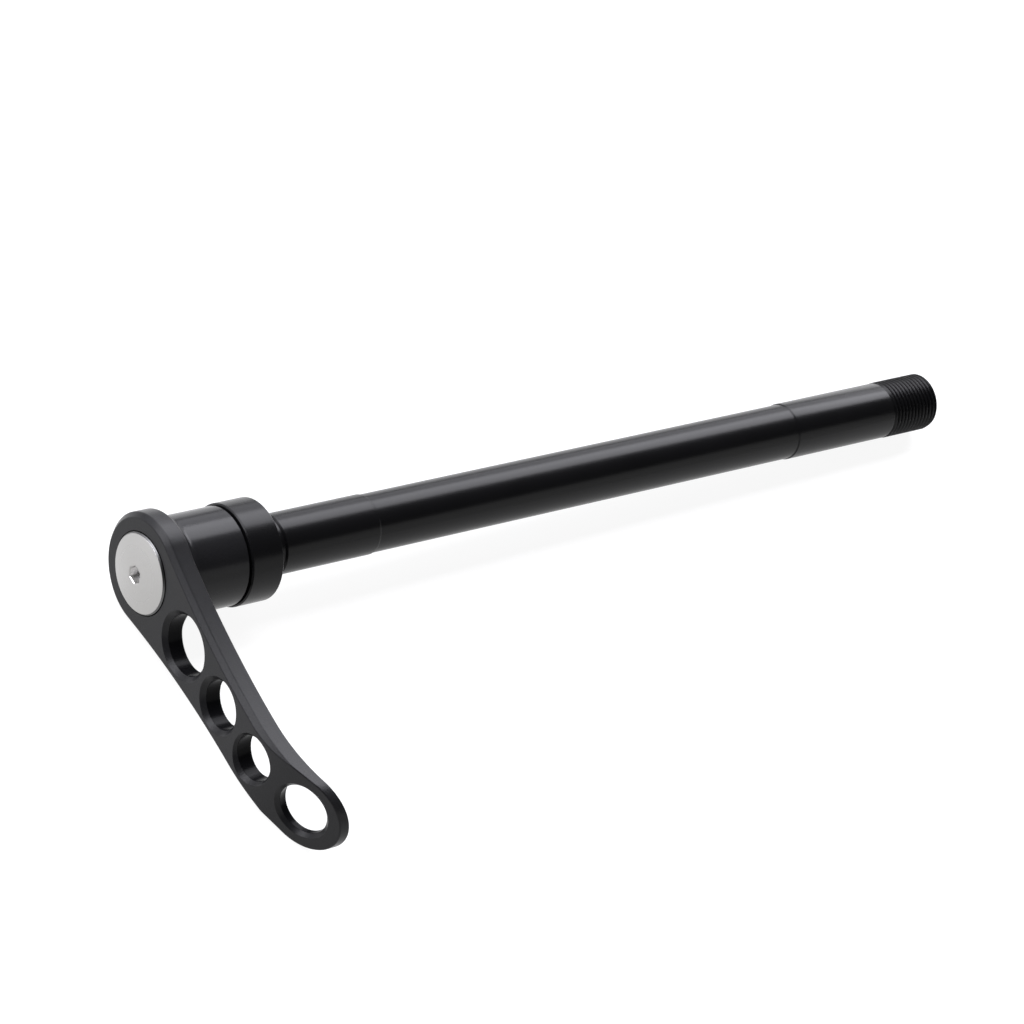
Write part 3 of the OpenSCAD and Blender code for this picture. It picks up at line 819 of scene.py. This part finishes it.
def shade_holes(piece):
    """Gives the walls of the holes the darker, less reflective material, as painted shade inside
    them.
    """
    slack = 0.03
    piece.data.materials.append(BORED_SHADE)
    to_local = LYING.inverted()
    for x, d in zip(hole_places(), HOLE_D):
        centre, _, deep = hole_frame(x)
        for face in piece.data.polygons:
            off = to_local @ face.center - centre
            if (off - deep * off.dot(deep)).length < d / 2 + slack:
                face.material_index = 1


def lever():
    verts, faces = [], []
    edge_front, edge_back = skin(verts, faces, edge_sections())
    fronts, backs, back_centres = [edge_front], [edge_back], []
    for x, d, chamfer in zip(hole_places(), HOLE_D, HOLE_CHAMFER):
        front, back = skin(verts, faces, hole_sections(x, d, chamfer))
        fronts.append(front)
        backs.append(back)
        back_centres.append(sum(verts[i].x for i in back) / len(back))
    hub_back, hub_front = skin(verts, faces, hub_sections())
    fronts.append(hub_front)
    backs.append(hub_back)
    front_points = face_points(
        edge_room=lambda x: chamfer_width(x) + EDGE_MARGIN + 0.2,
        hub_room=CAP_BORE_R + 0.5,
        hole_room=1.4,
        centres=hole_places(),
    )
    fill(verts, faces, fronts, front_points, front_level)
    back_points = face_points(
        edge_room=lambda x: MARGIN + 0.25,
        hub_room=HUB_R + HUB_FILLET + 0.3,
        hole_room=0.75,
        centres=back_centres,
    )
    fill(verts, faces, backs, back_points + hub_rings(), back_level)
    piece = add_mesh("lever_piece", verts, faces, MILLED, "lever_arm", "lever")
    # Painted shade: the walls of the holes take a darker material with weaker reflection.
    shade_holes(piece)


def paint(name, material):
    solid = frame["nodes"][name]
    solid.data.materials.clear()
    solid.data.materials.append(material)


# Floor, light and camera
def floor(half_side=6.0, glow=0.92):
    mat, shader = new_material("pale_floor", (0.1, 0.1, 0.1), roughness=0.6)
    shader.inputs["Emission Color"].default_value = (1, 1, 1, 1)
    shader.inputs["Emission Strength"].default_value = glow
    place = node(mat, "ShaderNodeTexCoord").outputs["Object"]
    cloud = noise(mat, place, scale=40.0)
    wire(mat, ramp(mat, cloud, low=0.5, high=0.7), shader.inputs["Roughness"])
    mesh = bpy.data.meshes.new("floor")
    corners = [(x * half_side, y * half_side, 0) for x, y in ((-1, -1), (1, -1), (1, 1), (-1, 1))]
    mesh.from_pydata(corners, [], [(0, 1, 2, 3)])
    mesh.materials.append(mat)
    plane = bpy.data.objects.new("floor", mesh)
    bpy.context.scene.collection.objects.link(plane)


def softbox(name, at, target, size, power, tint=(1, 1, 1)):
    data = bpy.data.lights.new(name, "AREA")
    data.shape = "RECTANGLE"
    data.size, data.size_y = size
    data.energy = power
    data.color = tint
    lamp = bpy.data.objects.new(name, data)
    lamp.location = at
    lamp.rotation_euler = (Vector(target) - Vector(at)).to_track_quat("-Z", "Y").to_euler()
    bpy.context.scene.collection.objects.link(lamp)


def lights(room=0.035, cool=(0.94, 0.94, 1.0)):
    """One wide softbox behind, a dimmer one below it, a weak one in front, and a dark room."""
    world = bpy.data.worlds.new("studio")
    bpy.context.scene.world = world
    world.use_nodes = True
    background = world.node_tree.nodes["Background"]
    background.inputs["Color"].default_value = (1, 1, 1, 1)
    background.inputs["Strength"].default_value = room
    behind, before = (-0.3, 0, 0), (0.2, 0, 0)
    softbox("back", (-0.3, 0.8, 1.125), behind, size=(5.4, 0.98), power=131, tint=cool)
    softbox("back_low", (-0.3, 1.285, 0.505), behind, size=(5.4, 0.66), power=25, tint=cool)
    softbox("front", (0.4, -1.6, 0.42), before, size=(3.0, 0.8), power=8)


CAMERA_AT = Vector((-0.467858, -0.308555, 0.514005))
CAMERA_TARGET = Vector((-0.01052, 0.02447, 0.00358))
CAMERA_ROLL = math.radians(28.7872)
CAMERA_FOCAL_PX, IMAGE_PX = 3848.0, 1024


def camera():
    data = bpy.data.cameras.new("camera")
    data.sensor_width = 36.0
    data.lens = CAMERA_FOCAL_PX / IMAGE_PX * data.sensor_width
    data.clip_start, data.clip_end = 0.01, 50.0
    cam = bpy.data.objects.new("camera", data)
    cam.location = CAMERA_AT
    level = (CAMERA_TARGET - CAMERA_AT).to_track_quat("-Z", "Y")
    cam.rotation_mode = "QUATERNION"
    cam.rotation_quaternion = level @ Quaternion((0, 0, 1), CAMERA_ROLL)
    bpy.context.scene.collection.objects.link(cam)
    bpy.context.scene.camera = cam


thrust_ring()
axle_shaft()
cap_screw()
return_spring()
lever()
paint("retaining_clip", STEEL)
paint("thrust_washer", PLASTIC)
floor()
lights()
camera()
bpy.context.scene.view_settings.view_transform = "Standard"
